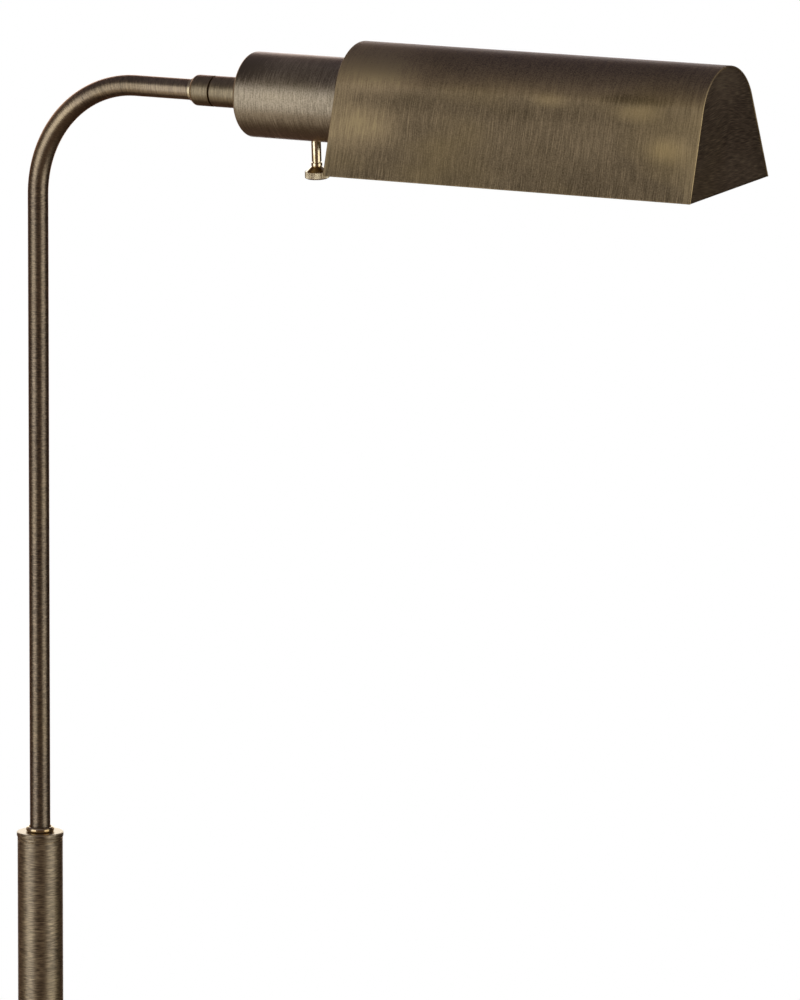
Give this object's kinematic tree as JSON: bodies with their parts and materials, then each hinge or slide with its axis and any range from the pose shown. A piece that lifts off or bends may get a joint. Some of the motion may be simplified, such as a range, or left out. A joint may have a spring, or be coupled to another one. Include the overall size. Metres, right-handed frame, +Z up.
{
  "type": "floor lamp",
  "caption": "Floor lamp with a round weighted base, a post with a sliding bent arm, and a trough shade on a swivel with a turn knob.",
  "frame": {"origin": "centre of the base's underside, on the floor", "axes": "+Z up along the post, +X from the post towards the shade"},
  "size_m": [0.5071, 0.254, 1.2291],
  "materials": {
    "antique_brass": "brushed, darkened, lacquered",
    "polished_brass": "polished",
    "cast_iron": "as cast",
    "felt": "felt",
    "zinc_steel": "zinc plated",
    "nylon": "natural",
    "rubber": "matt black",
    "phenolic": "moulded",
    "alloy": "pressed",
    "opal_glass": "frosted white",
    "lead_sheath": "smooth"
  },
  "bodies": {
    "base": {"base_cover": "antique_brass", "base_weight": "cast_iron", "base_pad": "felt", "post_foot": "antique_brass", "lower_post": "antique_brass", "post_plug": "zinc_steel", "base_nipple": "zinc_steel", "base_washer": "zinc_steel", "base_nut": "zinc_steel", "cord_bushing": "rubber", "post_collar": "antique_brass", "collar_ring": "polished_brass", "collar_bush": "nylon", "post_lead": "lead_sheath"},
    "slider": {"guide_sleeve": "nylon", "guide_rings": "rubber"},
    "arm": {"arm_tube": "antique_brass", "tube_stop_ring": "zinc_steel", "tube_end_ring": "zinc_steel", "lead_grommet": "nylon", "neck_ring": "polished_brass", "swivel_body": "antique_brass", "swivel_stop_pin": "zinc_steel", "swivel_washer": "nylon", "swivel_clip": "zinc_steel", "arm_lead": "lead_sheath"},
    "head": {"swivel_barrel": "antique_brass", "cup_nipple": "zinc_steel", "cup_nut": "zinc_steel", "socket_cup": "antique_brass", "socket_body": "phenolic", "socket_shell": "alloy", "socket_contact": "polished_brass", "terminal_screws": "polished_brass", "shade_ring": "phenolic", "shade_shell": "antique_brass", "shade_inner_plate": "antique_brass", "shade_outer_plate": "antique_brass", "bulb_glass": "opal_glass", "bulb_cap": "alloy", "bulb_contact": "zinc_steel", "head_lead": "lead_sheath"},
    "knob": {"switch_rotor": "phenolic", "switch_shaft": "zinc_steel", "switch_knob": "polished_brass"}
  },
  "joints": [
    {"name": "height_slide", "type": "slide", "parent": "base", "child": "slider", "axis": [0, 0, 1], "range_m": [-0.305, 0.075], "deforming": ["post_lead"]},
    {"name": "arm_swing", "type": "hinge", "parent": "slider", "child": "arm", "pos_m": [0, 0, 0.7], "axis": [0, 0, 1], "range_deg": [-175, 175]},
    {"name": "shade_swivel", "type": "hinge", "parent": "arm", "child": "head", "pos_m": [0.101, 0, 1.2003], "axis": [1, 0, 0], "range_deg": [-171.75, 164.25]},
    {"name": "knob_turn", "type": "hinge", "parent": "head", "child": "knob", "pos_m": [0.156, 0, 1.2003], "axis": [0, 0.0654, -0.9979], "continuous": true}
  ]
}
